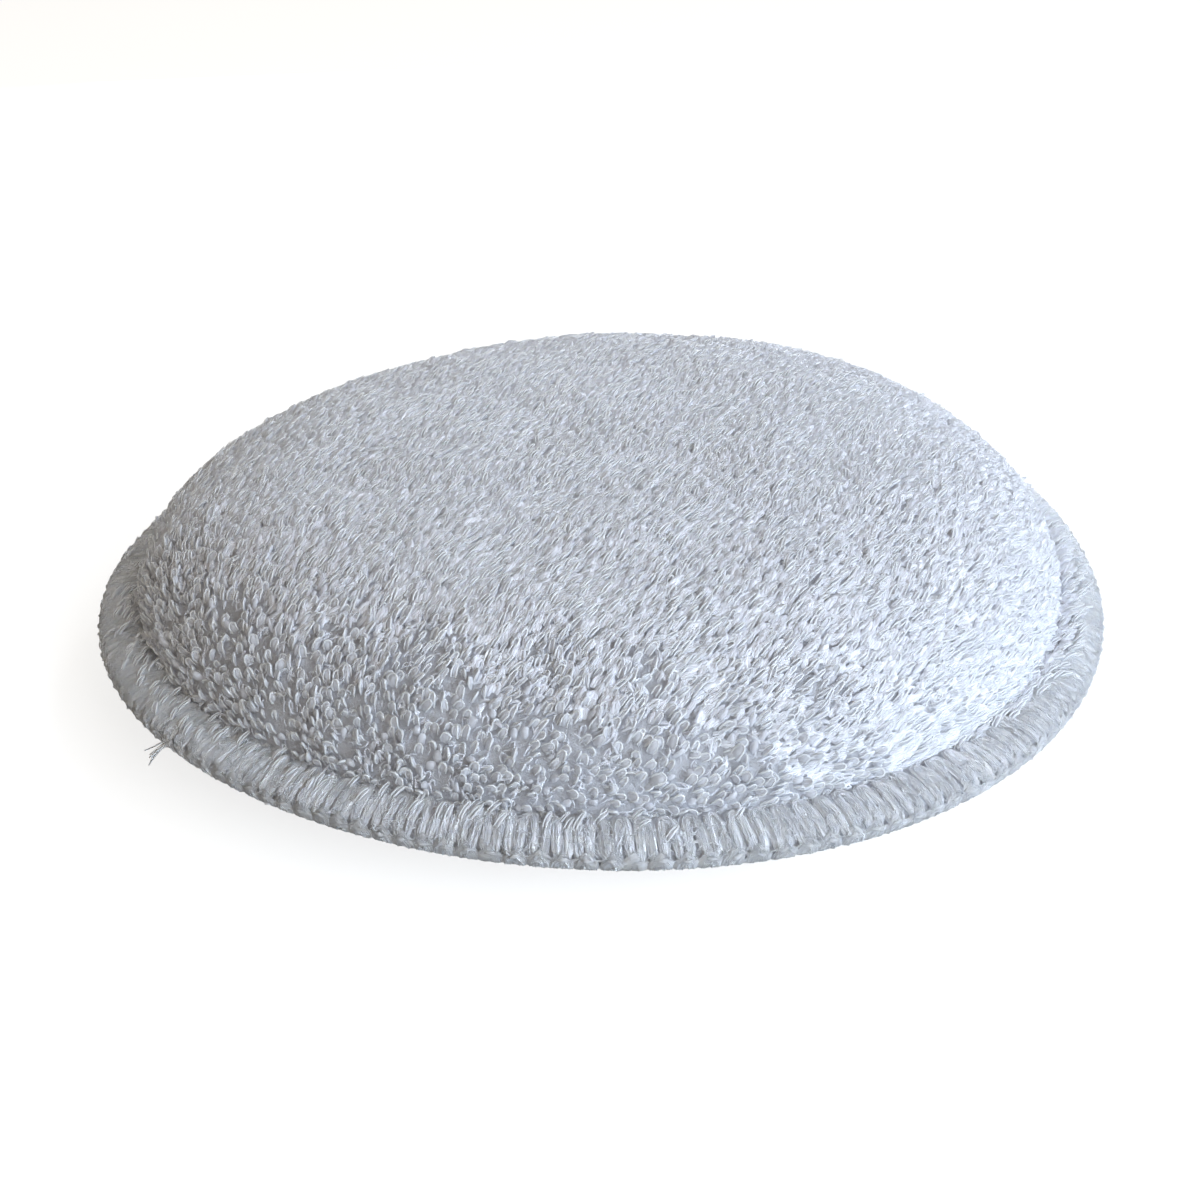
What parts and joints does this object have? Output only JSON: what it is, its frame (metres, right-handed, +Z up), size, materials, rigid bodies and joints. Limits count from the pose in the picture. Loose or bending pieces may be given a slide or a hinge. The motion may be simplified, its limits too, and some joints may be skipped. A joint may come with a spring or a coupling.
{
  "type": "terry cloth applicator pad",
  "caption": "Round terry cloth pad with a crowned face over a foam core, closed all round by an overlocked edge.",
  "frame": {"origin": "centre of the pad's flat underside, on the surface it rests on", "axes": "+Z up through the crowned face, +X to the right and +Y away from the viewer of the picture"},
  "size_m": [0.127, 0.127, 0.0264],
  "materials": {
    "terry": "looped pile, matt with a soft sheen",
    "foam": "open-cell foam, matt",
    "thread": "textured yarn, matt with a soft sheen"
  },
  "bodies": {
    "root": {"face_cover": "terry", "back_cover": "terry", "foam_core": "foam", "overlock_needle_thread": "thread", "overlock_upper_looper_thread": "thread", "overlock_lower_looper_thread": "thread", "thread_tail": "thread"}
  },
  "joints": []
}
